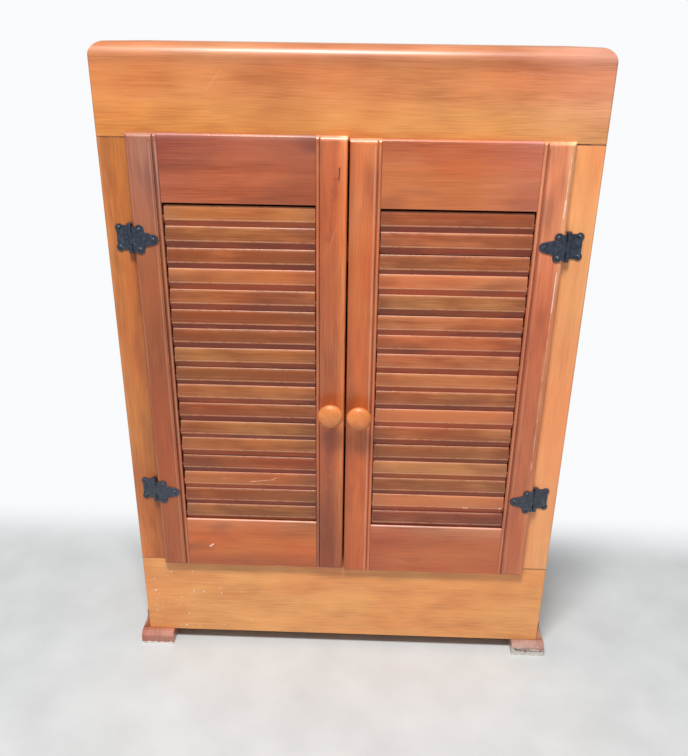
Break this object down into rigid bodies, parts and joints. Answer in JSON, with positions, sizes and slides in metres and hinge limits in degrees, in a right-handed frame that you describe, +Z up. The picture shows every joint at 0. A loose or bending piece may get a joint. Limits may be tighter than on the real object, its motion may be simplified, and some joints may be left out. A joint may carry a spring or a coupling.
{
  "type": "louvred door cabinet",
  "caption": "Upright pine cabinet with two louvred doors on surface hinges, round knobs, a deep rounded top rail, open shelves inside and two runner feet.",
  "frame": {"origin": "on the floor, in the middle of the cabinet's overall width and depth, with the knobs and feet included", "axes": "+Z up, the doors face -Y, +X to the right as seen from the front"},
  "size_m": [0.631, 0.2398, 0.875],
  "materials": {
    "carcass_pine": "honey-orange stained and varnished pine, satin",
    "door_pine": "red-brown stained and varnished pine, satin",
    "slat_pine": "mixed red-brown and golden stained pine, satin",
    "foot_pine": "stained pine, worn at the edges",
    "knob_wood": "turned and varnished",
    "cover_hardboard": "smooth brown hardboard",
    "blackened_iron": "hammered blue-black paint",
    "zinc_steel": "zinc plated",
    "catch_plastic": "moulded brown plastic"
  },
  "bodies": {
    "cabinet": {"base_rail": "carcass_pine", "cabinet_floor": "carcass_pine", "catch_body": "catch_plastic", "catch_poles": "zinc_steel", "cove_moulding_left": "carcass_pine", "cove_moulding_right": "carcass_pine", "face_stile_left": "carcass_pine", "face_stile_right": "carcass_pine", "foot_left": "foot_pine", "foot_right": "foot_pine", "left_frame_leaf_screws": "blackened_iron", "left_frame_leaves": "blackened_iron", "left_hinge_pins": "blackened_iron", "rear_cover": "cover_hardboard", "right_frame_leaf_screws": "blackened_iron", "right_frame_leaves": "blackened_iron", "right_hinge_pins": "blackened_iron", "shelf_1": "carcass_pine", "shelf_2": "carcass_pine", "side_panel_left": "carcass_pine", "side_panel_right": "carcass_pine", "top_board": "carcass_pine", "top_fascia": "carcass_pine"},
    "left_door": {"left_door_bottom_rail": "door_pine", "left_door_catch_plate": "zinc_steel", "left_door_hinge_stile": "door_pine", "left_door_knob": "knob_wood", "left_door_knob_screw": "zinc_steel", "left_door_leaf_screws": "blackened_iron", "left_door_leaves": "blackened_iron", "left_door_meeting_stile": "door_pine", "left_door_slats": "slat_pine", "left_door_top_rail": "door_pine"},
    "right_door": {"right_door_bottom_rail": "door_pine", "right_door_catch_plate": "zinc_steel", "right_door_hinge_stile": "door_pine", "right_door_knob": "knob_wood", "right_door_knob_screw": "zinc_steel", "right_door_leaf_screws": "blackened_iron", "right_door_leaves": "blackened_iron", "right_door_meeting_stile": "door_pine", "right_door_slats": "slat_pine", "right_door_top_rail": "door_pine"}
  },
  "joints": [
    {"name": "left_door_hinge", "type": "hinge", "parent": "cabinet", "child": "left_door", "pos_m": [-0.2735, -0.0865, 0.463], "axis": [0, 0, -1], "range_deg": [0, 130]},
    {"name": "right_door_hinge", "type": "hinge", "parent": "cabinet", "child": "right_door", "pos_m": [0.2735, -0.0865, 0.463], "axis": [0, 0, 1], "range_deg": [0, 130]}
  ]
}
